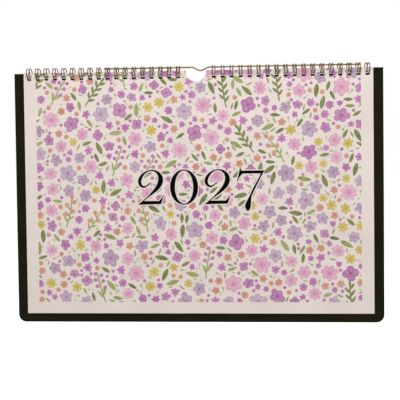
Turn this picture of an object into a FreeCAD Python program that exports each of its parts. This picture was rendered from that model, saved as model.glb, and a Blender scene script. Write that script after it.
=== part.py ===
import FreeCAD, Part
import Sketcher
import math
import os
import random

# Wire-bound wall calendar in landscape format, closed at its cover and hanging upright.
# Millimetres, +Z up, +X to the viewer's right, front towards -Y.
# The origin is the hollow of the hanger's bend, where a nail bears.

SIZES = {
    # Cover sheet and monthly sheets
    "sheet_width": 332,
    "sheet_height": 232,
    "cover_thickness": 0.3,
    "block_thickness": 1.6,
    # Backing board, level with the sheets at the top and wider than they are elsewhere
    "board_side_border": 9.8,
    "board_bottom_border": 9,
    "board_thickness": 1.2,
    "board_corner_radius": 7.5,
    # Thumb notch through the whole stack
    "notch_radius": 9.8,
    "notch_drop": 0.75,
    # Twin-loop wire, three loops to the inch
    "loop_pitch": 8.4667,
    "loops_per_strip": 18,
    "gap_pitches": 4,
    "wire_diameter": 0.95,
    "twin_spacing": 2.5,
    "loop_bore": 7.94,
    "spine_bend_radius": 0.8,
    "closure_clearance": 0.15,
    "seam_gap": 0.28,
    # Punched holes and how the sheets hang in the wire, a little behind the loops' centres
    "stack_setback": 0.35,
    "hole_side_clearance": 0.275,
    "wire_clearance": 0.2,
    "edge_drop": 0.05,
    # Hanger rod with its dip
    "rod_diameter": 1.5,
    "rod_clearance": 0.15,
    "rod_left_length": 92.6,
    "rod_right_length": 149.9,
    "dip_offset": 4.4,
    "dip_depth": 3.2,
    "dip_slope_angle": 28,
    "shoulder_radius": 4.5,
    "apex_radius": 4.5,
    # Print on the cover
    "ink_thickness": 0.05,
    "print_side_margin": 11.5,
    "print_bottom_margin": 11,
    "print_top_clearance": 1,
    "figure_height": 33.2,
    "figure_gap": 5.9,
    "figure_offset": 3.6,
    "baseline_depth": 127.4,
    "motif_gap": 0.4,
}

# Places that follow from the sizes. The board's holes end just below the wire, so that black card
# shows through the lower half of the taller holes in the sheets.
PLACES = {
    "board_width": "=Sizes.sheet_width + 2 * Sizes.board_side_border",
    "board_height": "=Sizes.sheet_height + Sizes.board_bottom_border",
    "stack_thickness": "=Sizes.cover_thickness + Sizes.block_thickness + Sizes.board_thickness",
    "board_rear": "=stack_thickness / 2 + Sizes.stack_setback",
    "block_rear": "=board_rear - Sizes.board_thickness",
    "cover_rear": "=block_rear - Sizes.block_thickness",
    "cover_front": "=cover_rear - Sizes.cover_thickness",
    "centre_offset": "=-Sizes.dip_offset",
    "rod_height": "=Sizes.dip_depth - Sizes.rod_diameter / 2",
    "rod_over_loop_centre": "=(Sizes.loop_bore - Sizes.rod_diameter) / 2 - Sizes.rod_clearance",
    "loop_height": "=rod_height - rod_over_loop_centre",
    "sheet_top": "=loop_height - Sizes.edge_drop",
    "loop_radius": "=(Sizes.loop_bore + Sizes.wire_diameter) / 2",
    "strip_length": "=(Sizes.loops_per_strip - 1) * Sizes.loop_pitch",
    "half_gap": "=Sizes.gap_pitches * Sizes.loop_pitch / 2",
    "hole_side": "=Sizes.twin_spacing + Sizes.wire_diameter + 2 * Sizes.hole_side_clearance",
    "wire_drop_at_face": "=sqrt((Sizes.loop_bore / 2) ^ 2 - board_rear ^ 2)",
    "hole_edge_distance": "=wire_drop_at_face - Sizes.edge_drop - Sizes.wire_clearance",
    "wire_foot_at_board": "=sqrt((loop_radius + Sizes.wire_diameter / 2) ^ 2 - block_rear ^ 2)",
    "board_hole_height": "=wire_foot_at_board - Sizes.edge_drop + Sizes.wire_clearance - hole_edge_distance",
}

# Numerals, in figure heights from the left end of the base line.
# Two points are a straight stroke edge, more are one smooth curve.
FIGURE_TWO = [
    [(0.378, 0.612), (0.262, 0.522), (0.174, 0.488), (0.09, 0.512), (0.006, 0.645), (0.066, 0.83),
     (0.224, 0.962), (0.419, 1.008), (0.606, 0.952), (0.729, 0.774), (0.696, 0.564), (0.582, 0.42),
     (0.368, 0.26), (0.172, 0.108)],
    [(0.172, 0.108), (0.605, 0.108)],
    [(0.605, 0.108), (0.677, 0.181), (0.741, 0.271)],
    [(0.741, 0.271), (0.752, 0.261)],
    [(0.752, 0.261), (0.665, 0.015)],
    [(0.665, 0.015), (0.0, 0.0)],
    [(0.0, 0.0), (0.252, 0.219), (0.445, 0.426), (0.561, 0.606), (0.594, 0.774), (0.535, 0.916),
     (0.419, 0.97), (0.226, 0.9), (0.116, 0.723), (0.116, 0.598), (0.174, 0.541), (0.248, 0.561),
     (0.353, 0.643)],
    [(0.353, 0.643), (0.378, 0.612)],
]
FIGURE_SEVEN = [
    [(0.128, 0.96), (0.799, 0.96)],
    [(0.799, 0.96), (0.745, 0.872), (0.51, 0.416), (0.409, 0.161), (0.389, -0.08), (0.315, -0.195),
     (0.235, -0.107), (0.295, 0.107), (0.456, 0.443), (0.69, 0.872)],
    [(0.69, 0.872), (0.18, 0.872)],
    [(0.18, 0.872), (0.094, 0.792), (0.035, 0.653)],
    [(0.035, 0.653), (0.005, 0.658)],
    [(0.005, 0.658), (0.1, 1.054)],
    [(0.1, 1.054), (0.116, 1.054)],
    [(0.116, 1.054), (0.128, 0.96)],
]
FIGURE_TWO_WIDTH = 0.752
FIGURE_SEVEN_WIDTH = 0.799
ZERO_OUTER = (0.406, 0.508)
ZERO_INNER = (0.262, 0.474)
CURVE_TOLERANCE = 0.1

# Fields of the ditsy print, large motifs first: node, shape, how many, outer radius, petals
MOTIFS = [
    ("print_leaves_green", "sprig", 16, 15.0, 0),
    ("print_flowers_lilac", "flower", 12, 8.6, 5),
    ("print_flowers_pink", "flower", 12, 8.4, 6),
    ("print_flowers_violet", "flower", 9, 7.6, 5),
    ("print_flowers_lilac", "flower", 14, 6.6, 5),
    ("print_flowers_pink", "flower", 12, 6.6, 6),
    ("print_leaves_green", "leaf", 40, 6.6, 0),
    ("print_flowers_yellow", "flower", 18, 5.4, 6),
    ("print_flowers_violet", "flower", 20, 4.6, 5),
    ("print_flowers_peach", "flower", 22, 3.9, 5),
    ("print_leaves_green", "leaf", 10, 4.6, 0),
]
PRINT_SEED = 27
PRINT_DARTS = 150
ARTWORK_WIDTH = 309
ARTWORK_TOP = -8.24
ARTWORK_BOTTOM = -221
PETAL_SHOULDER_SHARE = 0.26
PETAL_NOTCH_SHARE = 0.55
LEAF_WIDTH_SHARE = 0.32
SPRIG_WIDTH_SHARE = 0.36
SPRIG_LEAN = 0.6
SPRIG_LEAF_PLACES = (-0.45, -0.1, 0.25, 0.6)
SPRIG_LEAF_RADIUS = 3.3
SPRIG_LEAF_ANGLE = 0.75
STEM_HALF_WIDTH = 0.45
LEAF_STEM_GAP = 0.2

doc = FreeCAD.newDocument("WallCalendar")


def fill_sheet(name, cells):
    sheet = doc.addObject("Spreadsheet::Sheet", name)
    for row, (alias, content) in enumerate(cells.items(), start=1):
        sheet.set(f"A{row}", alias)
        sheet.set(f"B{row}", str(content))
        sheet.setAlias(f"B{row}", alias)
    doc.recompute()
    return sheet


sizes = fill_sheet("Sizes", SIZES)
places = fill_sheet("Places", PLACES)


def size(alias):
    return float(sizes.get(alias))


def place(alias):
    return float(places.get(alias))


def origin_plane(body, role):
    return next(f for f in body.Origin.OriginFeatures if f.Role == role)


def add_sketch(body, name, role):
    sketch = body.newObject("Sketcher::SketchObject", name)
    sketch.AttachmentSupport = [(origin_plane(body, role), "")]
    sketch.MapMode = "FlatFace"
    return sketch


def bind(sketch, constraint, name, expression):
    """Add a sketch dimension and tie it to the sheets."""
    index = sketch.addConstraint(constraint)
    sketch.renameConstraint(index, name)
    sketch.setExpression(f"Constraints.{name}", expression)


def draw_rectangle(sketch, name, left, top, width, height):
    """Draw four sides, with the width and the height tied to the sheets, and return the first side."""
    across, down = sketch.evalExpression(width), sketch.evalExpression(height)
    right, bottom = left + across, top - down
    corners = [(left, bottom), (right, bottom), (right, top), (left, top)]
    points = [FreeCAD.Vector(x, z, 0) for x, z in corners]
    first = sketch.GeometryCount
    for i in range(4):
        sketch.addGeometry(Part.LineSegment(points[i], points[(i + 1) % 4]), False)
    for i in range(4):
        sketch.addConstraint(Sketcher.Constraint("Coincident", first + i, 2, first + (i + 1) % 4, 1))
    for side in (0, 2):
        sketch.addConstraint(Sketcher.Constraint("Horizontal", first + side))
    for side in (1, 3):
        sketch.addConstraint(Sketcher.Constraint("Vertical", first + side))
    bind(sketch, Sketcher.Constraint("DistanceX", first, 1, first, 2, across), f"{name}_width", width)
    bind(sketch, Sketcher.Constraint("DistanceY", first + 1, 1, first + 1, 2, down), f"{name}_height", height)
    return first


def cut_through(body, sketch, name):
    pocket = body.newObject("PartDesign::Pocket", name)
    pocket.Profile = sketch
    pocket.Type = "ThroughAll"
    pocket.Midplane = True
    return pocket


def seat(body, depth):
    """Place a sheet by the middle of its top edge, with its rear face at the given depth."""
    body.setExpression(".Placement.Base.x", "Places.centre_offset")
    body.setExpression(".Placement.Base.y", depth)
    body.setExpression(".Placement.Base.z", "Places.sheet_top")


def round_lower_corners(body, pad, radius):
    """Round the two lower corners of a sheet's outline."""
    doc.recompute()
    box = pad.Shape.BoundBox
    corners = []
    for index, edge in enumerate(pad.Shape.Edges, start=1):
        middle = edge.CenterOfMass
        at_side = min(abs(middle.x - box.XMin), abs(middle.x - box.XMax)) < 1e-3
        if at_side and abs(middle.z - box.ZMin) < 1e-3:
            corners.append(f"Edge{index}")
    fillet = body.newObject("PartDesign::Fillet", f"{body.Name}_corners")
    fillet.Base = (pad, corners)
    fillet.setExpression("Radius", radius)


def punched_sheet(name, width, height, thickness, rear, hole_height, corner_radius=None):
    """A flat sheet that hangs from its top edge, with the thumb notch and two rows of square-cut holes."""
    body = doc.addObject("PartDesign::Body", name)
    body.Label = name
    seat(body, rear)

    outline = add_sketch(body, f"{name}_outline", "XZ_Plane")
    half_width = outline.evalExpression(f"{width} / 2")
    first = draw_rectangle(outline, "sheet", -half_width, 0, width, height)
    outline.addConstraint(Sketcher.Constraint("PointOnObject", first + 2, 1, -1))
    bind(outline, Sketcher.Constraint("DistanceX", -1, 1, first + 2, 1, half_width), "right_half",
         f"{width} / 2")
    pad = body.newObject("PartDesign::Pad", f"{name}_pad")
    pad.Profile = outline
    pad.setExpression("Length", thickness)
    if corner_radius:
        round_lower_corners(body, pad, corner_radius)

    thumb = add_sketch(body, f"{name}_thumb", "XZ_Plane")
    drop, radius = size("notch_drop"), size("notch_radius")
    thumb.addGeometry(Part.Circle(FreeCAD.Vector(0, -drop, 0), FreeCAD.Vector(0, 0, 1), radius), False)
    thumb.addConstraint(Sketcher.Constraint("PointOnObject", 0, 3, -2))
    bind(thumb, Sketcher.Constraint("DistanceY", 0, 3, -1, 1, drop), "drop", "Sizes.notch_drop")
    bind(thumb, Sketcher.Constraint("Radius", 0, radius), "radius", "Sizes.notch_radius")
    cut_through(body, thumb, f"{name}_thumb_notch")

    holes = add_sketch(body, f"{name}_first_holes", "XZ_Plane")
    side, drop = "Places.hole_side", place("hole_edge_distance")
    left_reach = place("half_gap") + place("strip_length") + place("hole_side") / 2
    right_reach = place("half_gap") - place("hole_side") / 2
    left = draw_rectangle(holes, "left", -left_reach, -drop, side, hole_height)
    right = draw_rectangle(holes, "right", right_reach, -drop, side, hole_height)
    bind(holes, Sketcher.Constraint("DistanceX", left, 1, -1, 1, left_reach), "left_reach",
         "Places.half_gap + Places.strip_length + Places.hole_side / 2")
    bind(holes, Sketcher.Constraint("DistanceX", -1, 1, right, 1, right_reach), "right_reach",
         "Places.half_gap - Places.hole_side / 2")
    bind(holes, Sketcher.Constraint("DistanceY", left + 2, 1, -1, 1, drop), "left_drop",
         "Places.hole_edge_distance")
    bind(holes, Sketcher.Constraint("DistanceY", right + 2, 1, -1, 1, drop), "right_drop",
         "Places.hole_edge_distance")
    punch = cut_through(body, holes, f"{name}_punch")
    row = body.newObject("PartDesign::LinearPattern", f"{name}_hole_rows")
    row.Originals = [punch]
    row.Direction = (holes, ["H_Axis"])
    row.setExpression("Length", "Places.strip_length")
    row.setExpression("Occurrences", "Sizes.loops_per_strip")
    body.Tip = row
    doc.recompute()
    return body


def make_hanger():
    """The hanger rod: straight, with one dip for the nail, lying inside the top of the loops."""
    body = doc.addObject("PartDesign::Body", "hanger")
    body.Label = "hanger"
    body.setExpression(".Placement.Base.z", "Places.rod_height")
    slope = math.radians(size("dip_slope_angle"))
    shoulder, apex = size("shoulder_radius"), size("apex_radius")
    arcs_drop = (shoulder + apex) * (1 - math.cos(slope))
    slope_length = (size("dip_depth") - arcs_drop) / math.sin(slope)
    half_width = (shoulder + apex) * math.sin(slope) + slope_length * math.cos(slope)
    shoulder_end = (half_width - shoulder * math.sin(slope), -shoulder * (1 - math.cos(slope)))
    apex_end = (apex * math.sin(slope), apex * (1 - math.cos(slope)) - size("dip_depth"))

    path = add_sketch(body, "hanger_path", "XZ_Plane")

    def point(x, z):
        return FreeCAD.Vector(x, z, 0)

    def bend(start, centre, radius, towards, end):
        middle = point(centre[0] + radius * math.cos(towards), centre[1] + radius * math.sin(towards))
        return Part.Arc(point(*start), middle, point(*end))

    up = math.pi / 2
    path.addGeometry(Part.LineSegment(point(-size("rod_left_length"), 0), point(-half_width, 0)), False)
    path.addGeometry(bend((-half_width, 0), (-half_width, -shoulder), shoulder, up - slope / 2,
                          (-shoulder_end[0], shoulder_end[1])), False)
    path.addGeometry(Part.LineSegment(point(-shoulder_end[0], shoulder_end[1]),
                                      point(-apex_end[0], apex_end[1])), False)
    path.addGeometry(bend((-apex_end[0], apex_end[1]), (0, apex - size("dip_depth")), apex, -up, apex_end),
                     False)
    path.addGeometry(Part.LineSegment(point(*apex_end), point(*shoulder_end)), False)
    path.addGeometry(bend(shoulder_end, (half_width, -shoulder), shoulder, up + slope / 2,
                          (half_width, 0)), False)
    path.addGeometry(Part.LineSegment(point(half_width, 0), point(size("rod_right_length"), 0)), False)
    arc_start_ends = {1: (2, 1), 3: (1, 2), 5: (2, 1)}
    for arc, (start, end) in arc_start_ends.items():
        path.addConstraint(Sketcher.Constraint("Tangent", arc - 1, 2, arc, start))
        path.addConstraint(Sketcher.Constraint("Tangent", arc, end, arc + 1, 1))
    for line in (0, 6):
        path.addConstraint(Sketcher.Constraint("Horizontal", line))
    path.addConstraint(Sketcher.Constraint("PointOnObject", 0, 1, -1))
    path.addConstraint(Sketcher.Constraint("PointOnObject", 6, 2, -1))
    path.addConstraint(Sketcher.Constraint("PointOnObject", 3, 3, -2))
    path.addConstraint(Sketcher.Constraint("Equal", 1, 5))
    bind(path, Sketcher.Constraint("Radius", 1, shoulder), "shoulder", "Sizes.shoulder_radius")
    bind(path, Sketcher.Constraint("Radius", 3, apex), "apex", "Sizes.apex_radius")
    bind(path, Sketcher.Constraint("DistanceY", -1, 1, 3, 3, apex - size("dip_depth")), "apex_height",
         "Sizes.apex_radius - Sizes.dip_depth")
    bind(path, Sketcher.Constraint("Angle", -1, 1, 4, 1, slope), "slope", "Sizes.dip_slope_angle")
    bind(path, Sketcher.Constraint("DistanceX", 0, 1, -1, 1, size("rod_left_length")), "left",
         "Sizes.rod_left_length")
    bind(path, Sketcher.Constraint("DistanceX", -1, 1, 6, 2, size("rod_right_length")), "right",
         "Sizes.rod_right_length")

    section = add_sketch(body, "hanger_section", "YZ_Plane")
    section.setExpression(".AttachmentOffset.Base.z", "-Sizes.rod_left_length")
    section.addGeometry(Part.Circle(FreeCAD.Vector(0, 0, 0), FreeCAD.Vector(0, 0, 1), 1), False)
    section.addConstraint(Sketcher.Constraint("Coincident", 0, 3, -1, 1))
    bind(section, Sketcher.Constraint("Diameter", 0, 2), "diameter", "Sizes.rod_diameter")
    pipe = body.newObject("PartDesign::AdditivePipe", "hanger_rod")
    pipe.Profile = section
    pipe.Spine = path
    body.Tip = pipe
    return body


def wire_strip(name, first_loop):
    """One continuous wire: twin legs round the stack, closed ends and spine both behind the board."""
    radius = place("loop_radius")
    half_twin = size("twin_spacing") / 2
    bend = size("spine_bend_radius")
    pitch = size("loop_pitch")
    diameter = size("wire_diameter")
    count = int(size("loops_per_strip"))

    # Angles run round the loop's centre from straight down towards the rear.
    reach = place("board_rear") + size("closure_clearance") + diameter / 2
    apex_angle = math.asin(reach / math.hypot(radius, half_twin))
    tip = apex_angle - math.atan(half_twin / radius)
    spine_angle = apex_angle + (diameter + size("seam_gap")) / radius
    root = spine_angle + math.atan(bend / radius)

    def spot(x, angle):
        return FreeCAD.Vector(x, radius * math.sin(angle), -radius * math.cos(angle))

    def leg(x, start, end):
        return Part.Arc(spot(x, start), spot(x, (start + end) / 2), spot(x, end)).toShape()

    def closed_end(x):
        along = FreeCAD.Vector(0, math.cos(tip), math.sin(tip)) * half_twin
        return Part.Arc(spot(x - half_twin, tip), spot(x, tip) + along, spot(x + half_twin, tip)).toShape()

    def spine(left_x, right_x):
        down = FreeCAD.Vector(0, -math.cos(root), -math.sin(root)) * bend
        side = FreeCAD.Vector(bend, 0, 0)
        slant = math.sin(math.pi / 4)
        left, right = spot(left_x, root), spot(right_x, root)
        left_middle = left + down * slant + side * (1 - slant)
        right_middle = right + down * slant - side * (1 - slant)
        return [
            Part.Arc(left, left_middle, left + down + side).toShape(),
            Part.makeLine(left + down + side, right + down - side),
            Part.Arc(right + down - side, right_middle, right).toShape(),
        ]

    whole_turn = 2 * math.pi
    edges = []
    for n in range(count):
        x = n * pitch
        edges.append(leg(x - half_twin, root, whole_turn + tip))
        edges.append(closed_end(x))
        edges.append(leg(x + half_twin, whole_turn + tip, root))
        if n < count - 1:
            edges += spine(x + half_twin, x + pitch - half_twin)
    start = Part.makeCircle(diameter / 2, spot(-half_twin, root),
                            FreeCAD.Vector(0, math.cos(root), math.sin(root)))
    path = Part.Wire(edges)
    strip = doc.addObject("Part::Feature", name)
    strip.Label = name
    strip.Shape = path.makePipeShell([Part.Wire(start)], True, True)
    strip.Placement.Base = FreeCAD.Vector(place("centre_offset") + first_loop, 0, place("loop_height"))
    section = math.pi * diameter ** 2 / 4
    if abs(strip.Shape.Volume - section * path.Length) > 0.01 * section * path.Length:
        raise RuntimeError(f"{name}: the swept volume isn't its section times its length")
    return strip


def flat_face(outline):
    """A face on the cover's front plane from an outline of straight edges and smooth runs of arcs."""
    edges = []
    for stretch in outline:
        points = [FreeCAD.Vector(x, 0, z) for x, z in stretch]
        if len(points) == 2:
            edges.append(Part.makeLine(*points))
        else:
            curve = Part.BSplineCurve()
            curve.interpolate(points)
            edges += [arc.toShape() for arc in curve.toBiArcs(CURVE_TOLERANCE)]
    return Part.Face(Part.Wire(edges))


def ellipse_face(half_width, half_height, centre_x, centre_z):
    """An upright ellipse, made from the circle that it is when its width is scaled to its height."""
    centre = FreeCAD.Vector(centre_x, 0, centre_z)
    tall = FreeCAD.Vector(centre_x, 0, centre_z + half_height)
    wide = FreeCAD.Vector(centre_x + half_width, 0, centre_z)
    return Part.Face(Part.Wire(Part.Ellipse(tall, wide, centre).toShape()))


def year_faces():
    """The four numerals side by side, as flat faces on the cover."""
    height = size("figure_height")
    gap = size("figure_gap")
    zero_width = 2 * ZERO_OUTER[0]
    widths = [FIGURE_TWO_WIDTH, zero_width, FIGURE_TWO_WIDTH, FIGURE_SEVEN_WIDTH]
    total = sum(widths) * height + (len(widths) - 1) * gap
    base = -size("baseline_depth")
    left = size("figure_offset") - total / 2
    faces = []
    for figure, width in zip((FIGURE_TWO, None, FIGURE_TWO, FIGURE_SEVEN), widths):
        if figure is None:
            centre_x = left + width * height / 2
            centre_z = base + height / 2
            outer = ellipse_face(ZERO_OUTER[0] * height, ZERO_OUTER[1] * height, centre_x, centre_z)
            inner = ellipse_face(ZERO_INNER[0] * height, ZERO_INNER[1] * height, centre_x, centre_z)
            faces.append(outer.cut(inner))
        else:
            outline = [[(left + x * height, base + z * height) for x, z in stretch] for stretch in figure]
            faces.append(flat_face(outline))
        left += width * height + gap
    return Part.makeCompound(faces)


def motif_discs(shape, x, z, radius, turn):
    """The discs that keep a motif clear of its neighbours: one for a flower, a row along a leaf or sprig."""
    if shape == "flower":
        return [(x, z, radius)]
    steps = {"leaf": 1, "sprig": 2}[shape]
    disc = radius * {"leaf": LEAF_WIDTH_SHARE, "sprig": SPRIG_WIDTH_SHARE}[shape]
    along = (radius - disc) / steps
    return [(x + n * along * math.cos(turn), z + n * along * math.sin(turn), disc)
            for n in range(-steps, steps + 1)]


def scatter_motifs():
    """Places for every motif on the artwork, none nearer to another than the motif gap."""
    rng = random.Random(PRINT_SEED)
    gap = size("motif_gap")
    taken = []
    motifs = []
    for node, shape, count, radius, petals in MOTIFS:
        for _ in range(count):
            for _ in range(PRINT_DARTS):
                x = rng.uniform(-ARTWORK_WIDTH / 2, ARTWORK_WIDTH / 2)
                z = rng.uniform(ARTWORK_BOTTOM, 0)
                turn = rng.uniform(0, 2 * math.pi)
                if shape == "sprig":
                    turn = math.pi / 2 + SPRIG_LEAN * math.cos(turn)
                discs = motif_discs(shape, x, z, radius, turn)
                if all(math.hypot(ax - bx, az - bz) > ar + br + gap
                       for ax, az, ar in discs for bx, bz, br in taken):
                    taken += discs
                    motifs.append((node, shape, x, z, radius, turn, petals))
                    break
    return motifs


def turned(points, x, z, turn):
    """Points of a motif's own frame, turned and moved to its place on the cover."""
    return [(x + along * math.cos(turn) - across * math.sin(turn),
             z + along * math.sin(turn) + across * math.cos(turn)) for along, across in points]


def flower_outline(radius, petals):
    """Blunt petals round a centre: two shoulders and a notch for each."""
    step = 2 * math.pi / petals
    shoulder = step * PETAL_SHOULDER_SHARE
    points = []
    for n in range(petals):
        for angle, reach in ((-shoulder, 1), (shoulder, 1), (step / 2, PETAL_NOTCH_SHARE)):
            direction = n * step + angle
            points.append((radius * reach * math.cos(direction), radius * reach * math.sin(direction)))
    return points


def leaf_outline(radius):
    """A pointed leaf, widest in its middle third."""
    half_width = radius * LEAF_WIDTH_SHARE
    shape = [(-1, 0), (-0.35, -1), (0.35, -1), (1, 0), (0.35, 1), (-0.35, 1)]
    return [(along * radius, across * half_width) for along, across in shape]


def sprig_outlines(radius):
    """A straight stem with leaves to either side, each just clear of the stem."""
    outlines = [[(-radius, -STEM_HALF_WIDTH), (radius, -STEM_HALF_WIDTH),
                 (radius, STEM_HALF_WIDTH), (-radius, STEM_HALF_WIDTH)]]
    for n, share in enumerate(SPRIG_LEAF_PLACES):
        side = 1 if n % 2 else -1
        angle = side * SPRIG_LEAF_ANGLE
        base_across = side * (STEM_HALF_WIDTH + LEAF_STEM_GAP)
        middle = (share * radius + SPRIG_LEAF_RADIUS * math.cos(angle),
                  base_across + SPRIG_LEAF_RADIUS * math.sin(angle))
        outlines.append(turned(leaf_outline(SPRIG_LEAF_RADIUS), *middle, angle))
    return outlines


def motif_outlines(shape, radius, petals):
    if shape == "flower":
        return [flower_outline(radius, petals)]
    if shape == "leaf":
        return [leaf_outline(radius)]
    return sprig_outlines(radius)


def polygon_face(points):
    corners = [FreeCAD.Vector(x, 0, z) for x, z in points]
    return Part.Face(Part.makePolygon(corners + corners[:1]))


def print_field(numerals):
    """The part of the cover that takes the print, and how the artwork's points are fitted to it.

    It lies below the holes and outside the notch and the numerals.
    """
    half = size("sheet_width") / 2 - size("print_side_margin")
    top = -place("hole_edge_distance") - place("hole_side") - size("print_top_clearance")
    low = size("print_bottom_margin") - size("sheet_height")
    field = polygon_face([(-half, low), (half, low), (half, top), (-half, top)])
    notch_edge = size("notch_radius") + size("print_top_clearance")
    notch = ellipse_face(notch_edge, notch_edge, 0, -size("notch_drop"))

    def fitted(point):
        x, z = point
        depth_share = (z - ARTWORK_TOP) / (ARTWORK_BOTTOM - ARTWORK_TOP)
        return 2 * half * x / ARTWORK_WIDTH, top + (low - top) * depth_share

    return field.cut([notch] + numerals.Faces), fitted


def ink(name, faces):
    """Flat faces as thin ink on the cover's front."""
    feature = doc.addObject("Part::Feature", name)
    feature.Label = name
    forward = FreeCAD.Vector(0, -size("ink_thickness"), 0)
    solids = [face.extrude(forward) for face in faces]
    feature.Shape = Part.makeCompound(solids)
    feature.Placement.Base = FreeCAD.Vector(place("centre_offset"), place("cover_front"), place("sheet_top"))
    return feature


def make_print():
    """The year numerals and one field of motifs for each colour."""
    numerals = year_faces()
    field, fitted = print_field(numerals)
    fields = {}
    for node, shape, x, z, radius, turn, petals in scatter_motifs():
        for outline in motif_outlines(shape, radius, petals):
            motif = polygon_face([fitted(point) for point in turned(outline, x, z, turn)])
            fields.setdefault(node, []).extend(motif.common(field).Faces)
    return [ink("year_numerals", numerals.Faces)] + [ink(node, faces) for node, faces in fields.items()]


subparts = [
    punched_sheet("back_board", "Places.board_width", "Places.board_height",
                  "Sizes.board_thickness", "Places.board_rear", "Places.board_hole_height",
                  "Sizes.board_corner_radius"),
    punched_sheet("page_block", "Sizes.sheet_width", "Sizes.sheet_height",
                  "Sizes.block_thickness", "Places.block_rear", "Places.hole_side"),
    punched_sheet("front_cover", "Sizes.sheet_width", "Sizes.sheet_height",
                  "Sizes.cover_thickness", "Places.cover_rear", "Places.hole_side"),
    wire_strip("wire_binding_left", -place("half_gap") - place("strip_length")),
    wire_strip("wire_binding_right", place("half_gap")),
    make_hanger(),
]
subparts += make_print()
doc.recompute()

for item in doc.Objects:
    if "Invalid" in item.State or "Error" in item.State:
        raise RuntimeError(f"{item.Label} failed: {item.State}")
for subpart in subparts:
    if subpart.Shape.isNull() or not subpart.Shape.isValid():
        raise RuntimeError(f"{subpart.Label} has no valid shape")

os.makedirs("parts", exist_ok=True)
for subpart in subparts:
    subpart.Shape.exportStep(f"parts/{subpart.Label}.step")
    box = subpart.Shape.BoundBox
    print(f"{subpart.Label}: {len(subpart.Shape.Solids)} solids, volume {subpart.Shape.Volume:.1f}, "
          f"x {box.XMin:.2f} to {box.XMax:.2f}, y {box.YMin:.2f} to {box.YMax:.2f}, "
          f"z {box.ZMin:.2f} to {box.ZMax:.2f}")
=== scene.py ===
import math
import random

import bmesh
import bpy
from mathutils import Matrix, Vector


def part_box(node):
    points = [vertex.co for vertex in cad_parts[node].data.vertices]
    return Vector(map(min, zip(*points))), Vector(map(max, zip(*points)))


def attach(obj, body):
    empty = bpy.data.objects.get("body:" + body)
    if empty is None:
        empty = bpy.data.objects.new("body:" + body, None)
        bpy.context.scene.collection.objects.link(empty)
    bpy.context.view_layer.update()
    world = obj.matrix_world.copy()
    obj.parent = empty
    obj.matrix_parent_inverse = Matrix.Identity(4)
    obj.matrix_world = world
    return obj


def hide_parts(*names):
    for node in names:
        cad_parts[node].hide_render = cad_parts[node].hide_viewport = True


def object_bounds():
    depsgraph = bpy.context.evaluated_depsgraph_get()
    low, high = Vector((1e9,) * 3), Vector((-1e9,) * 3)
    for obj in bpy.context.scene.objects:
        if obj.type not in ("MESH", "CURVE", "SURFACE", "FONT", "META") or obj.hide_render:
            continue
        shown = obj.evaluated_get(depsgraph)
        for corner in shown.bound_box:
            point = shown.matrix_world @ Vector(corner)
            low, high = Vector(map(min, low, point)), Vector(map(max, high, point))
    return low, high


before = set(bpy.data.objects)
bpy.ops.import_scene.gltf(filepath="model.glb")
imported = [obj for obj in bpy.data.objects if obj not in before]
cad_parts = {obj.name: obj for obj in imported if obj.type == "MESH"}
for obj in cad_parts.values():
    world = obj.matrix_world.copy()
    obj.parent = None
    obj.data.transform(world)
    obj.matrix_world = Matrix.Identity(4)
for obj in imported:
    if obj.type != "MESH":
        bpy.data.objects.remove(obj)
cad_low, cad_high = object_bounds()

# Wall calendar: punched sheets on a black board, held by twin-loop wire, with a floral cover.
# Lengths are in metres unless a name says millimetres. The front faces -Y.

MM = 0.001

# The print's artwork, in millimetres. Each row of motifs gives an ink, a shape, how many there are
# and their reach. The solids' own motifs come first and are laid out by the same seed, so that the
# painted ones lie on them.
ARTWORK_WIDTH = 309
ARTWORK_DEPTH = 221
MOTIF_GAP = 0.4
PRINT_SEED = 27
PRINT_DARTS = 150
SPRIG_LEAN = 0.6
WIDTH_SHARES = {"leaf": 0.32, "sprig": 0.36}
DISC_STEPS = {"leaf": 1, "sprig": 2}
SEARCH_CELL = 18
FIELD_MOTIFS = [
    ("leaves_green", "sprig", 16, 15.0),
    ("flowers_lilac", "flower", 12, 8.6),
    ("flowers_pink", "flower", 12, 8.4),
    ("flowers_violet", "flower", 9, 7.6),
    ("flowers_lilac", "flower", 14, 6.6),
    ("flowers_pink", "flower", 12, 6.6),
    ("leaves_green", "leaf", 40, 6.6),
    ("flowers_yellow", "flower", 18, 5.4),
    ("flowers_violet", "flower", 20, 4.6),
    ("flowers_peach", "flower", 22, 3.9),
    ("leaves_green", "leaf", 10, 4.6),
]
FILLER_MOTIFS = [
    ("flowers_pink", "flower", 26, 6.2),
    ("flowers_lilac", "flower", 26, 6.0),
    ("flowers_violet", "flower", 18, 5.2),
    ("blossoms_orchid", "flower", 60, 4.4),
    ("flowers_yellow", "flower", 14, 4.4),
    ("flowers_peach", "flower", 30, 3.9),
    ("leaves_green", "leaf", 70, 4.8),
    ("blossoms_orchid", "flower", 90, 3.3),
    ("cups_peach", "flower", 60, 2.7),
    ("leaves_small", "leaf", 140, 3.4),
    ("berries_orchid", "flower", 120, 1.6),
    ("leaves_small", "leaf", 160, 2.3),
]

# Painted inks in display values: the pale wash, the dark rim, the heart and how far the heart reaches
INKS = {
    "lilac": ((196, 174, 190), (150, 120, 148), (152, 98, 140), 0.3),
    "pink": ((216, 180, 194), (198, 136, 166), (202, 120, 160), 0.5),
    "violet": ((192, 144, 178), (152, 84, 140), (136, 66, 126), 0.3),
    "yellow": ((206, 189, 112), (180, 157, 64), (168, 140, 46), 0.3),
    "peach": ((206, 160, 140), (184, 120, 96), (172, 104, 80), 0.3),
    "orchid": ((194, 138, 180), (162, 88, 148), (142, 66, 128), 0.3),
    "green": ((164, 168, 110), (114, 124, 66), (110, 120, 62), 0.1),
    "leaf": ((134, 140, 86), (80, 90, 42), (78, 88, 40), 0.1),
}

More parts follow.
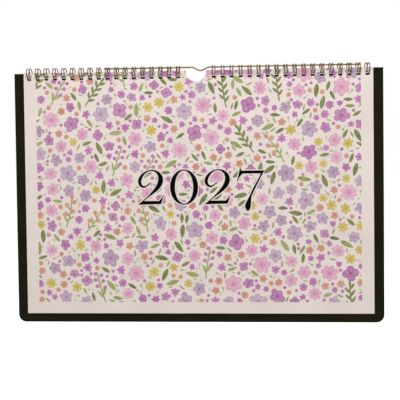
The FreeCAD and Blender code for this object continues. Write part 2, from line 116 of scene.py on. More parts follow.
# Outlines that share out the places of each kind of flower: petals, notch, fullness, steps,
# unevenness and seed
FLOWER_OUTLINES = {
    "flowers_lilac": [(5, 0.46, 0.5, 9, 0.2, 3), (5, 0.42, 0.55, 9, 0.26, 8), (6, 0.5, 0.5, 9, 0.2, 5)],
    "flowers_pink": [(7, 0.62, 0.6, 8, 0.18, 2), (6, 0.56, 0.55, 9, 0.2, 4), (8, 0.6, 0.65, 8, 0.2, 6)],
    "flowers_violet": [(4, 0.56, 0.5, 11, 0.2, 7), (5, 0.52, 0.5, 9, 0.24, 9)],
    "flowers_yellow": [(7, 0.5, 0.8, 7, 0.16, 10), (6, 0.48, 0.75, 8, 0.2, 11)],
    "flowers_peach": [(5, 0.52, 0.65, 7, 0.22, 12), (6, 0.55, 0.7, 7, 0.2, 13)],
    "blossoms_orchid": [(5, 0.42, 0.7, 7, 0.22, 14), (6, 0.45, 0.75, 7, 0.2, 15)],
    "berries_orchid": [(4, 0.93, 1.0, 5, 0.0, 1)],
}

# Rings of points from a shape's heart to its rim, as shares of its outline
PETAL_RINGS = (0.3, 0.62, 0.86, 1.0)
LEAF_RINGS = (0.45, 0.8, 1.0)
CUP_RINGS = (0.5, 0.85, 1.0)
SMALL_RINGS = (0.5, 1.0)

# Steps along a leaf's side and round a flower cup, and points along a stem
LEAF_STEPS = 14
CUP_STEPS = 36
STEM_POINTS = 9

# A cup's three tips lie within this half angle, and the rest of its outline stands this share as high
CUP_HALF_OPENING = math.radians(76)
CUP_BASE = 0.62

# Sprigs, as shares of their reach: how far along each leaf, berry or bud stands, and on which side.
# Their stems have one tone and one fold.
STEM_TONE = 0.75
STEM_FOLD = 0.4
SPRIG_STEM_WIDTH = 0.042
SPRIG_LEAVES = [(-0.62, -1), (-0.45, 1), (-0.22, -1), (-0.02, 1), (0.2, -1), (0.42, 1), (0.62, -1)]
SPRIG_BERRIES = [(-0.1, -1), (0.12, 1), (0.34, -1), (0.54, 1), (0.74, -1), (0.92, 0.6)]
SPRIG_BUDS = [(-0.25, 1), (0.05, -1), (0.38, 1), (0.66, -1), (0.95, 0)]

# Ink layers in front of the cover, so that none lies in another's plane. Each shape within a motif
# lies a stroke further forward than the last, as a share of the motif's reach. The halo is the bare
# line round the numerals, and the wobble is how far painted outlines waver.
STROKE_STEP = 7e-5
LEAF_LAYER = 0.006 * MM
FLOWER_LAYER = 0.026 * MM
HALO_LAYER = 0.036 * MM
HALO_WIDTH = 0.95 * MM
INK_WOBBLE = 0.9 * MM
INK_WOBBLE_SCALE = 130.0

# Punched holes and thumb notch, as in the sheets
LOOP_PITCH = 8.4667 * MM
LOOPS_PER_STRIP = 18
GAP_PITCHES = 4
HOLE_SIDE = 4.0 * MM
HOLE_EDGE_DISTANCE = 3.2358 * MM
NOTCH_RADIUS = 9.8 * MM
NOTCH_DROP = 0.75 * MM
NOTCH_SIDES = 40
PUNCHED_BAND = 11.0 * MM

# Monthly leaves in the page block
LEAF_COUNT = 13
LEAF_THICKNESS = 0.12 * MM
LEAF_EASE = 0.02 * MM
LEAF_DRIFT = 0.09 * MM
LEAF_DRIFT_SEED = 5

# Points of a solid's mesh that lie closer than this are one
WELD_DISTANCE = 1e-6

# The camera, in the photograph's frame of 400 by 400 pixels. It aims at a point to the right of the
# cover's middle and below its top edge. Angles are in radians, and the shift is a share of the frame.
PHOTO_SIZE = 400
FOCAL_PIXELS = 524.25
CAMERA_AIM_RIGHT = 2.91 * MM
CAMERA_AIM_DOWN = 82.98 * MM
CAMERA_DISTANCE = 0.5
CAMERA_TURN = 0.0448
CAMERA_TILT = 0.0205
CAMERA_ROLL = -0.01234
CAMERA_SHIFT = -0.1056
SENSOR_WIDTH = 36.0

# Surroundings: how strongly they light the calendar, the floor's half side, how far it lies below,
# and how much it is lifted towards white where it is seen
AMBIENT_STRENGTH = 0.31
FLOOR_REACH = 3.0
FLOOR_DROP = 0.25
FLOOR_LIFT = 0.68

# Soft lamps: place, aim and size in metres, and power in watts
LAMPS = {
    "key_light": ((-0.05, -0.7, 0.66), (0, 0, -0.08), (0.77, 0.51), 8.8),
    "fill_light": ((0.7, -0.75, 0.5), (0, 0, -0.1), (0.8, 0.8), 2.1),
    "rear_light": ((0.3, 1.2, 0.7), (0, 0, -0.1), (0.9, 0.7), 6.0),
}

# Share of a plain surface's reflection that uncoated paper and flat ink keep
PAPER_SHEEN = 0.2

cover_low, cover_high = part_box("front_cover")
block_low, block_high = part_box("page_block")
cover_middle = (cover_low[0] + cover_high[0]) / 2
cover_front = cover_low[1]
cover_top = cover_high[2]


def linear(red, green, blue):
    """A colour picked as 0 to 255 display values, as the linear colour that a shader takes."""
    channels = []
    for value in (red, green, blue):
        share = value / 255
        channels.append(share / 12.92 if share <= 0.04045 else ((share + 0.055) / 1.055) ** 2.4)
    return (*channels, 1.0)


class Nodes:
    """One node tree, filled by naming nodes and linking sockets."""

    def __init__(self, tree):
        self.tree = tree
        self.tree.nodes.clear()

    def node(self, kind, **settings):
        made = self.tree.nodes.new(kind)
        for key, value in settings.items():
            setattr(made, key, value)
        return made

    def link(self, source, target):
        self.tree.links.new(source, target)

    def feed(self, sockets, values):
        """Link every value that is a socket, and set the others."""
        for socket, value in zip(sockets, values):
            if hasattr(value, "is_output"):
                self.link(value, socket)
            else:
                socket.default_value = value

    def maths(self, operation, first, second):
        worked = self.node("ShaderNodeMath", operation=operation)
        self.feed(worked.inputs, (first, second))
        return worked.outputs["Value"]

    def seen_rays(self):
        """1 where the surroundings are seen, also in a reflection, and 0 where they only give light."""
        rays = self.node("ShaderNodeLightPath").outputs
        either = self.maths("MAXIMUM", rays["Is Camera Ray"], rays["Is Glossy Ray"])
        return self.maths("MAXIMUM", either, rays["Is Transmission Ray"])


class Shading(Nodes):
    """A material with one surface shader and procedural textures."""

    def __init__(self, name, roughness, metallic=0.0, sheen=0.5):
        self.material = bpy.data.materials.new(name)
        self.material.use_nodes = True
        super().__init__(self.material.node_tree)
        self.shader = self.node("ShaderNodeBsdfPrincipled")
        self.shader.inputs["Roughness"].default_value = roughness
        self.shader.inputs["Metallic"].default_value = metallic
        self.shader.inputs["Specular IOR Level"].default_value = sheen
        self.output = self.node("ShaderNodeOutputMaterial")
        self.link(self.shader.outputs["BSDF"], self.output.inputs["Surface"])
        self.coordinates = self.node("ShaderNodeTexCoord").outputs["Object"]

    def noise(self, scale, detail=3.0, roughness=0.5, stretch=(1, 1, 1)):
        mapping = self.node("ShaderNodeMapping")
        mapping.inputs["Scale"].default_value = stretch
        self.link(self.coordinates, mapping.inputs["Vector"])
        texture = self.node("ShaderNodeTexNoise")
        texture.inputs["Scale"].default_value = scale
        texture.inputs["Detail"].default_value = detail
        texture.inputs["Roughness"].default_value = roughness
        self.link(mapping.outputs["Vector"], texture.inputs["Vector"])
        return texture.outputs["Fac"]

    def range(self, value, low, high, to_low=0.0, to_high=1.0):
        mapped = self.node("ShaderNodeMapRange", clamp=True)
        self.link(value, mapped.inputs["Value"])
        mapped.inputs["From Min"].default_value = low
        mapped.inputs["From Max"].default_value = high
        mapped.inputs["To Min"].default_value = to_low
        mapped.inputs["To Max"].default_value = to_high
        return mapped.outputs["Result"]

    def mix(self, share, first, second):
        blended = self.node("ShaderNodeMix", data_type="RGBA")
        self.feed([blended.inputs[name] for name in ("Factor", "A", "B")], (share, first, second))
        return blended.outputs["Result"]

    def attribute(self, name):
        return self.node("ShaderNodeAttribute", attribute_name=name).outputs["Fac"]

    def colour(self, source):
        self.link(source, self.shader.inputs["Base Color"])

    def bump(self, height, distance, strength):
        raised = self.node("ShaderNodeBump")
        raised.inputs["Strength"].default_value = strength
        raised.inputs["Distance"].default_value = distance
        self.link(height, raised.inputs["Height"])
        self.link(raised.outputs["Normal"], self.shader.inputs["Normal"])


def cover_paper():
    """Cream uncoated card: a faint cloudiness and a fine fibre tooth."""
    paper = Shading("cover_paper", roughness=0.62, sheen=PAPER_SHEEN)
    cloud = paper.noise(scale=28.0, detail=4.0)
    fibre = paper.noise(scale=2600.0, detail=3.0, roughness=0.6)
    tint = paper.mix(paper.range(cloud, 0.35, 0.65), linear(224, 213, 206), linear(218, 206, 199))
    paper.colour(paper.mix(paper.range(fibre, 0.3, 0.7, to_high=0.16), tint, linear(206, 193, 181)))
    paper.bump(fibre, distance=0.02 * MM, strength=0.25)
    return paper.material


def leaf_paper():
    """White writing paper of the monthly leaves."""
    paper = Shading("leaf_paper", roughness=0.7, sheen=PAPER_SHEEN)
    fibre = paper.noise(scale=2200.0, detail=3.0, roughness=0.6)
    paper.colour(paper.mix(paper.range(fibre, 0.3, 0.7), linear(236, 230, 220), linear(228, 221, 210)))
    paper.bump(fibre, distance=0.02 * MM, strength=0.25)
    return paper.material


def board_card():
    """Black coated board with a faint grain and dull sheen."""
    card = Shading("board_card", roughness=0.55, sheen=0.05)
    cloud = card.noise(scale=40.0, detail=4.0)
    grain = card.noise(scale=1500.0, detail=3.0, roughness=0.65)
    card.colour(card.mix(card.range(cloud, 0.3, 0.7), linear(18, 15, 6), linear(26, 23, 12)))
    roughness = card.range(grain, 0.3, 0.7, to_low=0.5, to_high=0.62)
    card.link(roughness, card.shader.inputs["Roughness"])
    card.bump(grain, distance=0.03 * MM, strength=0.3)
    return card.material


def bronze_wire():
    """Bronze-coloured enamelled wire, worn a little darker in patches."""
    wire = Shading("bronze_wire", roughness=0.34, metallic=0.9)
    patches = wire.noise(scale=420.0, detail=3.0)
    wire.colour(wire.mix(wire.range(patches, 0.35, 0.65), linear(141, 106, 55), linear(67, 50, 26)))
    roughness = wire.range(patches, 0.3, 0.7, to_low=0.26, to_high=0.42)
    wire.link(roughness, wire.shader.inputs["Roughness"])
    return wire.material


def hanger_wire():
    """The hanger rod: the same finish, a little greyer and with drawing lines along it."""
    wire = Shading("hanger_wire", roughness=0.38, metallic=0.9)
    lines = wire.noise(scale=900.0, detail=2.0, stretch=(0.05, 1, 1))
    wire.colour(wire.mix(wire.range(lines, 0.35, 0.65), linear(132, 112, 76), linear(88, 72, 44)))
    wire.bump(lines, distance=0.02 * MM, strength=0.2)
    return wire.material


def black_ink():
    """Solid black print, with the paper's tooth just showing."""
    ink = Shading("black_ink", roughness=0.5, sheen=0.02)
    fibre = ink.noise(scale=2600.0, detail=3.0, roughness=0.6)
    ink.colour(ink.mix(ink.range(fibre, 0.4, 0.75), linear(3, 3, 3), linear(11, 10, 10)))
    return ink.material


def watercolour_ink(name, pale, deep, heart, heart_reach):
    """Painted print: a cloudy wash, darker where it dries at rims and folds, with a tinted heart."""
    ink = Shading(name, roughness=0.62, sheen=PAPER_SHEEN)
    cloud = ink.noise(scale=420.0, detail=3.0, roughness=0.6)
    wash = ink.range(cloud, 0.36, 0.66, to_high=0.55)
    tone = ink.attribute("tone")
    rim = ink.range(tone, 0.8, 1.0, to_high=0.8)
    fold = ink.maths("MULTIPLY", ink.range(ink.attribute("fold"), 0.25, 0.85),
                     ink.range(tone, 0.15, 0.45, to_low=0.5, to_high=0.95))
    dose = ink.range(ink.attribute("turn"), 0.0, 2 * math.pi, to_low=-0.12, to_high=0.22)
    strength = ink.maths("ADD", ink.maths("MAXIMUM", ink.maths("MAXIMUM", rim, fold), wash), dose)
    painted = ink.mix(strength, linear(*pale), linear(*deep))
    heart_share = ink.range(tone, 0.06, heart_reach, to_low=0.9, to_high=0.0)
    ink.colour(ink.mix(heart_share, painted, linear(*heart)))
    return ink.material


class MeshNodes(Nodes):
    """A node group that makes one mesh of another."""

    def __init__(self, name, inputs):
        super().__init__(bpy.data.node_groups.new(name, "GeometryNodeTree"))
        made = {label: self.tree.interface.new_socket(label, in_out="INPUT", socket_type=kind)
                for label, kind in inputs.items()}
        self.identifiers = {label: socket.identifier for label, socket in made.items()}
        self.tree.interface.new_socket("Mesh", in_out="OUTPUT", socket_type="NodeSocketGeometry")
        self.given = self.node("NodeGroupInput").outputs

    def place_copies(self, points, instance):
        """Put one shape on every point. The node comes back, for its turn and size."""
        placed = self.node("GeometryNodeInstanceOnPoints")
        self.link(points, placed.inputs["Points"])
        self.link(instance, placed.inputs["Instance"])
        return placed

    def real(self, instances):
        """Copies as a plain mesh."""
        made = self.node("GeometryNodeRealizeInstances")
        self.link(instances, made.inputs["Geometry"])
        return made.outputs["Geometry"]

    def moved(self, geometry, offset):
        """The points of a shape, each moved by its own offset."""
        shifted = self.node("GeometryNodeSetPosition")
        self.link(geometry, shifted.inputs["Geometry"])
        self.link(offset, shifted.inputs["Offset"])
        return shifted.outputs["Geometry"]

    def vector_maths(self, operation, first, second):
        worked = self.node("ShaderNodeVectorMath", operation=operation)
        other = worked.inputs["Scale"] if operation == "SCALE" else worked.inputs[1]
        self.feed((worked.inputs[0], other), (first, second))
        return worked.outputs["Vector"]

    def output(self, geometry, material):
        """Hand out the mesh with its material."""
        finished = self.node("GeometryNodeSetMaterial")
        self.link(geometry, finished.inputs["Geometry"])
        self.link(material, finished.inputs["Material"])
        self.link(finished.outputs["Geometry"], self.node("NodeGroupOutput").inputs["Mesh"])

    def run(self, mesh, values):
        """What the group makes of a mesh."""
        carrier = in_scene(mesh.name, mesh)
        modifier = carrier.modifiers.new(self.tree.name, "NODES")
        modifier.node_group = self.tree
        for label, value in values.items():
            modifier[self.identifiers[label]] = value
        evaluated = carrier.evaluated_get(bpy.context.evaluated_depsgraph_get())
        made = bpy.data.meshes.new_from_object(evaluated)
        bpy.data.objects.remove(carrier)
        return made


def in_scene(name, data):
    """A new object that shows a mesh, camera or lamp."""
    shown = bpy.data.objects.new(name, data)
    bpy.context.scene.collection.objects.link(shown)
    return shown


def turned(points, x, z, turn):
    """Points of a motif's own frame, turned and moved."""
    return [(x + along * math.cos(turn) - across * math.sin(turn),
             z + along * math.sin(turn) + across * math.cos(turn)) for along, across in points]


def motif_discs(shape, x, z, radius, turn):
    """Discs that keep a motif clear of its neighbours: one for a flower, a row along a leaf or sprig."""
    if shape == "flower":
        return [(x, z, radius)]
    steps = DISC_STEPS[shape]
    disc = radius * WIDTH_SHARES[shape]
    along = (radius - disc) / steps
    return [(x + n * along * math.cos(turn), z + n * along * math.sin(turn), disc)
            for n in range(-steps, steps + 1)]


def cell_of(x, z):
    """The search cell that a point lies in."""
    return math.floor(x / SEARCH_CELL), math.floor(z / SEARCH_CELL)


def cells_near(x, z):
    """The search cell that a point lies in, and the eight round it."""
    column, row = cell_of(x, z)
    return [(column + across, row + down) for across in (-1, 0, 1) for down in (-1, 0, 1)]


def is_clear(discs, taken):
    """Whether a motif's discs stay clear of every disc that is laid near them."""
    return all(math.hypot(ax - bx, az - bz) > ar + br + MOTIF_GAP
               for ax, az, ar in discs
               for cell in cells_near(ax, az)
               for bx, bz, br in taken.get(cell, ()))


def scatter_motifs():
    """Places for every motif on the artwork, in millimetres from the middle of the cover's top edge."""
    rng = random.Random(PRINT_SEED)
    taken = {}
    places = {}
    for ink, shape, count, radius in FIELD_MOTIFS + FILLER_MOTIFS:
        for _ in range(count):
            for _ in range(PRINT_DARTS):
                x = rng.uniform(-ARTWORK_WIDTH / 2, ARTWORK_WIDTH / 2)
                z = rng.uniform(-ARTWORK_DEPTH, 0)
                turn = rng.uniform(0, 2 * math.pi)
                if shape == "sprig":
                    turn = math.pi / 2 + SPRIG_LEAN * math.cos(turn)
                discs = motif_discs(shape, x, z, radius, turn)
                if is_clear(discs, taken):
                    for disc in discs:
                        taken.setdefault(cell_of(disc[0], disc[1]), []).append(disc)
                    places.setdefault((ink, shape), []).append((x, z, radius, turn))
                    break
    return places


def petal_outline(petals, notch, fullness, steps, unevenness=0.0, seed=1):
    """Rounded petals round a centre. A point is along, across and its nearness to a fold."""
    rng = random.Random(seed)
    lengths = [1 + unevenness * (0.35 - rng.random()) for _ in range(petals)]
    leans = [unevenness * rng.uniform(-1, 1) * math.pi / petals for _ in range(petals)]
    points = []
    count = petals * steps
    for n in range(count):
        angle = 2 * math.pi * n / count
        petal = round(n / steps) % petals
        crest = abs(math.cos(petals * angle / 2)) ** fullness
        reach = notch + (lengths[petal] - notch) * crest
        bent = angle + leans[petal] * crest
        points.append((reach * math.cos(bent), reach * math.sin(bent), 1 - crest))
    return points


def leaf_outline(width):
    """A pointed leaf from -1 to 1, a little fuller towards its stalk."""
    upper = []
    for n in range(LEAF_STEPS + 1):
        along = -math.cos(math.pi * n / LEAF_STEPS)
        across = width * (1 - along * along) ** 0.8 * (1 - 0.18 * along)
        upper.append((along, across))
    lower = [(along, -across) for along, across in upper[-2:0:-1]]
    return [(along, across, 0.0) for along, across in upper + lower]


def cup_outline():
    """A flower cup seen from the side, with three pointed tips on its open side towards +1 along."""
    points = []
    for n in range(CUP_STEPS):
        angle = 2 * math.pi * n / CUP_STEPS
        off_axis = abs(math.remainder(angle, 2 * math.pi))
        is_open = off_axis < CUP_HALF_OPENING
        crest = abs(math.cos(3 * off_axis)) ** 0.8 if is_open else CUP_BASE
        reach = 0.58 + 0.42 * crest
        points.append((reach * math.cos(angle), 0.94 * reach * math.sin(angle),
                       1 - crest if is_open else 0.0))
    return points


def give_values(mesh, name, values):
    """Store a number on each point of a mesh."""
    mesh.attributes.new(name, "FLOAT", "POINT").data.foreach_set("value", values)


class Motif:
    """A flat painted shape in its own frame, with its tone from heart to rim and its folds."""

    def __init__(self):
        self.points, self.faces, self.tones, self.folds = [], [], [], []
        self.strokes = 0

    def lay_points(self, places):
        """Add points of the stroke under way, all on one depth."""
        self.points += [(x, -self.strokes * STROKE_STEP, z) for x, z in places]

    def blob(self, outline, rings, x=0.0, z=0.0, size=1.0, turn=0.0):
        """Add a filled outline, in rings from its heart to its rim."""
        self.strokes += 1
        centre = len(self.points)
        self.lay_points([(x, z)])
        self.tones.append(0.0)
        self.folds.append(0.0)
        count = len(outline)
        for ring in rings:
            scaled = [(along * ring * size, across * ring * size) for along, across, _ in outline]
            self.lay_points(turned(scaled, x, z, turn))
            self.tones += [ring] * count
            self.folds += [fold for _, _, fold in outline]
        for n in range(count):
            after = (n + 1) % count
            self.faces.append((centre, centre + 1 + n, centre + 1 + after))
            for ring in range(len(rings) - 1):
                inner, outer = centre + 1 + ring * count, centre + 1 + (ring + 1) * count
                self.faces.append((inner + n, outer + n, outer + after, inner + after))
        return self

    def stem(self, path, half_width):
        """Add a band along a path."""
        self.strokes += 1
        start = len(self.points)
        for n, (x, z) in enumerate(path):
            before, after = path[max(n - 1, 0)], path[min(n + 1, len(path) - 1)]
            run = Vector((after[0] - before[0], after[1] - before[1])).normalized()
            for side in (1, -1):
                self.lay_points([(x - side * half_width * run.y, z + side * half_width * run.x)])
                self.tones.append(STEM_TONE)
                self.folds.append(STEM_FOLD)
        for n in range(len(path) - 1):
            a = start + 2 * n
            self.faces.append((a, a + 1, a + 3, a + 2))
        return self

    def build(self, name):
        """The motif as an object in the scene."""
        mesh = bpy.data.meshes.new(name)
        mesh.from_pydata(self.points, [], self.faces)
        give_values(mesh, "tone", self.tones)
        give_values(mesh, "fold", self.folds)
        shape = bmesh.new()
        shape.from_mesh(mesh)
        face_viewer(shape)
        shape.to_mesh(mesh)
        shape.free()
        return in_scene(name, mesh)


def face_viewer(shape):
    """Turn every face of a flat shape towards -Y."""
    shape.normal_update()
    bmesh.ops.reverse_faces(shape, faces=[face for face in shape.faces if face.normal.y > 0])


def stem_path(bow):
    """A gently bowed stem from -1 to 1."""
    last = STEM_POINTS - 1
    return [(-1 + 2 * n / last, bow * math.cos(math.pi * (n / last - 0.5))) for n in range(STEM_POINTS)]


def leafy_sprig():
    """A bowed stem with leaves on both sides and one at its tip."""
    sprig = Motif().stem(stem_path(0.05), SPRIG_STEM_WIDTH)
    for along, side in SPRIG_LEAVES:
        angle = side * 0.72
        sprig.blob(leaf_outline(0.36), LEAF_RINGS, x=along + 0.2 * math.cos(angle),
                   z=0.04 + side * 0.03 + 0.2 * math.sin(angle), size=0.24, turn=angle)
    return sprig.blob(leaf_outline(0.36), LEAF_RINGS, x=1.0, size=0.22)


def berry_stems():
    """A stem with two low leaves and a side stalk for each berry but the last."""
    sprig = Motif().stem(stem_path(0.03), SPRIG_STEM_WIDTH)
    for along, side in SPRIG_BERRIES[:-1]:
        stalk = [(along - 0.22, 0.02), (along - 0.1, side * 0.07), (along, side * 0.17)]
        sprig.stem(stalk, half_width=0.03)
    for along, side in ((-0.7, 1), (-0.55, -1)):
        sprig.blob(leaf_outline(0.24), SMALL_RINGS, x=along + 0.27, z=side * 0.16, size=0.32,
                   turn=side * 0.5)
    return sprig


def berries():
    """The berries at the ends of the side stalks."""
    fruit = Motif()
    for along, side in SPRIG_BERRIES:
        fruit.blob(petal_outline(4, 0.94, 1.0, 4), SMALL_RINGS, x=along, z=side * 0.23, size=0.125)
    return fruit


def bud_stems():
    """A bowed stem with small leaves between the buds."""
    sprig = Motif().stem(stem_path(-0.08), SPRIG_STEM_WIDTH)
    for along, side in SPRIG_LEAVES[:5]:
        sprig.blob(leaf_outline(0.3), SMALL_RINGS, x=along + 0.13, z=-0.05 - side * 0.15, size=0.22,
                   turn=-side * 0.8)
    return sprig


def buds():
    """Half open buds along a bowed stem."""
    flowers = Motif()
    for along, side in SPRIG_BUDS:
        flowers.blob(cup_outline(), CUP_RINGS, x=along + 0.06, z=side * 0.22, size=0.18,
                     turn=side * 0.5)
    return flowers


def sprout():
    """A short stalk that parts into two leaves."""
    shoot = Motif().stem([(-1.0, 0.04), (-0.5, 0.0), (-0.05, 0.0)], half_width=0.07)
    for side in (-1, 1):
        angle = side * 0.3
        shoot.blob(leaf_outline(0.26), SMALL_RINGS, x=-0.1 + 0.5 * math.cos(angle),
                   z=0.5 * math.sin(angle), size=0.5, turn=angle)
    return shoot


def motif_nodes():
    """Puts one motif on every point, turned and sized by the point, then wobbles it like paint."""
    nodes = MeshNodes("lay_motifs", {"Points": "NodeSocketGeometry", "Motif": "NodeSocketObject",
                                     "Wobble": "NodeSocketFloat", "Wobble scale": "NodeSocketFloat",
                                     "Ink": "NodeSocketMaterial"})
    given = nodes.given
    motif = nodes.node("GeometryNodeObjectInfo")
    nodes.link(given["Motif"], motif.inputs["Object"])
    turn, reach = (nodes.node("GeometryNodeInputNamedAttribute", data_type="FLOAT") for _ in range(2))
    turn.inputs["Name"].default_value = "turn"
    reach.inputs["Name"].default_value = "reach"
    angles = nodes.node("ShaderNodeCombineXYZ")
    nodes.link(nodes.maths("MULTIPLY", turn.outputs["Attribute"], -1.0), angles.inputs["Y"])
    size = nodes.node("ShaderNodeCombineXYZ")
    nodes.feed(size.inputs, [reach.outputs["Attribute"]] * 3)
    placed = nodes.place_copies(given["Points"], motif.outputs["Geometry"])
    nodes.link(angles.outputs["Vector"], placed.inputs["Rotation"])
    nodes.link(size.outputs["Vector"], placed.inputs["Scale"])
    noise = nodes.node("ShaderNodeTexNoise")
    nodes.link(nodes.node("GeometryNodeInputPosition").outputs["Position"], noise.inputs["Vector"])
    nodes.link(given["Wobble scale"], noise.inputs["Scale"])
    centred = nodes.vector_maths("SUBTRACT", noise.outputs["Color"], (0.5, 0.5, 0.5))
    flat = nodes.vector_maths("MULTIPLY", centred, (1.0, 0.0, 1.0))
    wobble = nodes.vector_maths("SCALE", flat, given["Wobble"])
    nodes.output(nodes.moved(nodes.real(placed.outputs["Instances"]), wobble), given["Ink"])
    return nodes


def lay_motif(nodes, motif, places, layer, ink):
    """One motif on all its places, as a plain mesh on the cover."""
    mesh = bpy.data.meshes.new("motif_places")
    depth = cover_front - layer
    points = [(cover_middle + x * MM, depth, cover_top + z * MM) for x, z, _, _ in places]
    mesh.from_pydata(points, [], [])
    give_values(mesh, "turn", [turn for _, _, _, turn in places])
    give_values(mesh, "reach", [reach * MM for _, _, reach, _ in places])
    pattern = motif.build("motif")
    laid = nodes.run(mesh, {"Motif": pattern, "Wobble": INK_WOBBLE, "Wobble scale": INK_WOBBLE_SCALE,
                            "Ink": ink})
    bpy.data.objects.remove(pattern)
    return laid


def clip_side(shape, point, normal):
    """Cut off what lies beyond a plane."""
    geometry = shape.verts[:] + shape.edges[:] + shape.faces[:]
    bmesh.ops.bisect_plane(shape, geom=geometry, plane_co=point, plane_no=normal, clear_outer=True)


def punch_out(shape, corners):
    """Cut a convex opening, given by its corners on the cover's plane, out of a flat mesh."""
    low_x, high_x = min(x for x, _ in corners), max(x for x, _ in corners)
    low_z, high_z = min(z for _, z in corners), max(z for _, z in corners)

    def near(face):
        xs = [vert.co.x for vert in face.verts]
        zs = [vert.co.z for vert in face.verts]
        return max(xs) > low_x and min(xs) < high_x and max(zs) > low_z and min(zs) < high_z

    if not any(near(face) for face in shape.faces):
        return
    count = len(corners)
    middle = Vector((sum(x for x, _ in corners) / count, 0, sum(z for _, z in corners) / count))
    sides = []
    for (ax, az), (bx, bz) in zip(corners, corners[1:] + corners[:1]):
        point = Vector((ax, 0, az))
        normal = Vector((bz - az, 0, ax - bx)).normalized()
        if (middle - point).dot(normal) > 0:
            normal.negate()
        sides.append((point, normal))
        faces = [face for face in shape.faces if near(face)]
        edges = {edge for face in faces for edge in face.edges}
        verts = {vert for face in faces for vert in face.verts}
        bmesh.ops.bisect_plane(shape, geom=list(verts) + list(edges) + faces,
                               plane_co=point, plane_no=normal)
    inside = [face for face in shape.faces if near(face) and all(
        (face.calc_center_median() - point).dot(normal) < 0 for point, normal in sides)]
    bmesh.ops.delete(shape, geom=inside, context="FACES")


def hole_corners():
    """The square holes of both rows."""
    half = HOLE_SIDE / 2
    top = cover_top - HOLE_EDGE_DISTANCE
    first = GAP_PITCHES * LOOP_PITCH / 2
    for n in range(LOOPS_PER_STRIP):
        for side in (-1, 1):
            x = cover_middle + side * (first + n * LOOP_PITCH)
            yield [(x - half, top - HOLE_SIDE), (x + half, top - HOLE_SIDE),
                   (x + half, top), (x - half, top)]


def notch_corners():
    """The thumb notch, as the polygon round its circle."""
    z = cover_top - NOTCH_DROP
    turns = [2 * math.pi * n / NOTCH_SIDES for n in range(NOTCH_SIDES)]
    return [(cover_middle + NOTCH_RADIUS * math.cos(turn), z + NOTCH_RADIUS * math.sin(turn))
            for turn in turns]


def print_piece(name, ink, meshes, replaced=()):
    """Join laid motifs, cut them at the field's sides, holes and notch, and fix them to the cover."""
    shape = bmesh.new()
    for mesh in meshes:
        shape.from_mesh(mesh)
    half_width = ARTWORK_WIDTH / 2 * MM
    clip_side(shape, (cover_middle - half_width, 0, 0), (-1, 0, 0))
    clip_side(shape, (cover_middle + half_width, 0, 0), (1, 0, 0))
    clip_side(shape, (0, 0, cover_top - ARTWORK_DEPTH * MM), (0, 0, -1))
    clip_side(shape, (0, 0, cover_top), (0, 0, 1))
    for face in shape.faces:
        face.material_index = 0
    upper = shape.copy()
    band = cover_top - PUNCHED_BAND
    for part, keep_upper in ((shape, False), (upper, True)):
        away = [face for face in part.faces
                if (max(vert.co.z for vert in face.verts) > band) != keep_upper]
        bmesh.ops.delete(part, geom=away, context="FACES")
    for corners in hole_corners():
        punch_out(upper, corners)
    punch_out(upper, notch_corners())
    joined = bpy.data.meshes.new(name)
    upper.to_mesh(joined)
    upper.free()
    shape.from_mesh(joined)
    shape.to_mesh(joined)
    shape.free()
    joined.materials.append(ink)
    piece = in_scene(name, joined)
    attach(piece, "cover")
    if replaced:
        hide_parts(*replaced)


